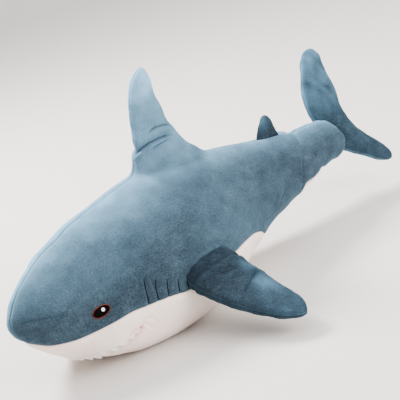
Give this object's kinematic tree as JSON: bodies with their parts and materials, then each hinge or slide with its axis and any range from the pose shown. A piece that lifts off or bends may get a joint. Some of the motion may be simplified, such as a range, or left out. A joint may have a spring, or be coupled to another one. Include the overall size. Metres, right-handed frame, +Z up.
{
  "type": "plush shark",
  "caption": "Stuffed toy shark lying on its belly, blue plush back and white belly, with soft fins and tail that flop and spring back, embroidered eyes and gills, and a felt toothed mouth.",
  "frame": {"origin": "under the middle of the shark's length and width, on the surface that its belly lies on", "axes": "+X forward out of the nose, +Y to the shark's left, +Z up out of its back"},
  "size_m": [0.9991, 0.6482, 0.4689],
  "materials": {
    "blue_plush": "short pile plush, dusty slate blue, paler along the back",
    "pale_blue_plush": "short pile plush, pale dusty blue",
    "deep_blue_plush": "short pile plush, deep slate blue",
    "white_plush": "short pile plush, warm off white",
    "white_felt": "cut felt",
    "pink_lining": "smooth woven lining, dull pink",
    "fibre_filling": "loose polyester fibre",
    "eye_ring_thread": "satin stitch, red brown",
    "eye_pupil_thread": "satin stitch, black",
    "eye_glint_thread": "satin stitch, white",
    "gill_thread": "satin stitch, dark green black"
  },
  "bodies": {
    "body": {"back_panel_left": "blue_plush", "back_panel_right": "blue_plush", "belly_panel": "white_plush", "body_stuffing": "fibre_filling", "eye_glint_left": "eye_glint_thread", "eye_glint_right": "eye_glint_thread", "eye_pupil_left": "eye_pupil_thread", "eye_pupil_right": "eye_pupil_thread", "eye_ring_left": "eye_ring_thread", "eye_ring_right": "eye_ring_thread", "gill_stitch_left_1": "gill_thread", "gill_stitch_left_2": "gill_thread", "gill_stitch_left_3": "gill_thread", "gill_stitch_left_4": "gill_thread", "gill_stitch_left_5": "gill_thread", "gill_stitch_right_1": "gill_thread", "gill_stitch_right_2": "gill_thread", "gill_stitch_right_3": "gill_thread", "gill_stitch_right_4": "gill_thread", "gill_stitch_right_5": "gill_thread", "mouth_roof_lining": "pink_lining", "snout_underside_panel": "white_plush", "upper_teeth": "white_felt"},
    "dorsal_fin": {"dorsal_fin_left_panel": "pale_blue_plush", "dorsal_fin_right_panel": "pale_blue_plush", "dorsal_fin_stuffing": "fibre_filling"},
    "lower_jaw": {"lower_jaw_panel": "white_plush", "lower_jaw_stuffing": "fibre_filling", "mouth_floor_lining": "pink_lining"},
    "pectoral_fin_left": {"pectoral_fin_left_lower_panel": "deep_blue_plush", "pectoral_fin_left_stuffing": "fibre_filling", "pectoral_fin_left_upper_panel": "deep_blue_plush"},
    "pectoral_fin_right": {"pectoral_fin_right_lower_panel": "deep_blue_plush", "pectoral_fin_right_stuffing": "fibre_filling", "pectoral_fin_right_upper_panel": "deep_blue_plush"},
    "second_dorsal_fin": {"second_dorsal_fin_left_panel": "deep_blue_plush", "second_dorsal_fin_right_panel": "deep_blue_plush", "second_dorsal_fin_stuffing": "fibre_filling"},
    "tail_fin": {"tail_fin_left_panel": "deep_blue_plush", "tail_fin_right_panel": "deep_blue_plush", "tail_fin_stuffing": "fibre_filling"}
  },
  "joints": [
    {"name": "lower_jaw_bend", "type": "hinge", "parent": "body", "child": "lower_jaw", "pos_m": [0.312, 0, 0.075], "axis": [0, 1, 0], "range_deg": [0, 10], "stiffness_Nm_per_rad": 0.2, "springref_deg": -2.86},
    {"name": "pectoral_left_flap", "type": "hinge", "parent": "body", "child": "pectoral_fin_left", "pos_m": [0.1425, 0.1555, 0.098], "axis": [1, 0, 0], "range_deg": [-8, 45], "stiffness_Nm_per_rad": 0.5},
    {"name": "pectoral_right_flap", "type": "hinge", "parent": "body", "child": "pectoral_fin_right", "pos_m": [0.1425, -0.1555, 0.098], "axis": [-1, 0, 0], "range_deg": [-8, 45], "stiffness_Nm_per_rad": 0.5},
    {"name": "dorsal_flop", "type": "hinge", "parent": "body", "child": "dorsal_fin", "pos_m": [0.089, 0, 0.309], "axis": [0.9962, 0, 0.0872], "range_deg": [-30, 30], "stiffness_Nm_per_rad": 0.4},
    {"name": "second_dorsal_flop", "type": "hinge", "parent": "body", "child": "second_dorsal_fin", "pos_m": [-0.192, 0, 0.233], "axis": [0.9848, 0, 0.1736], "range_deg": [-30, 30], "stiffness_Nm_per_rad": 0.01},
    {"name": "tail_sway", "type": "hinge", "parent": "body", "child": "tail_fin", "pos_m": [-0.391, 0, 0.158], "axis": [0, -0.4226, 0.9063], "range_deg": [-30, 30], "stiffness_Nm_per_rad": 0.3}
  ]
}
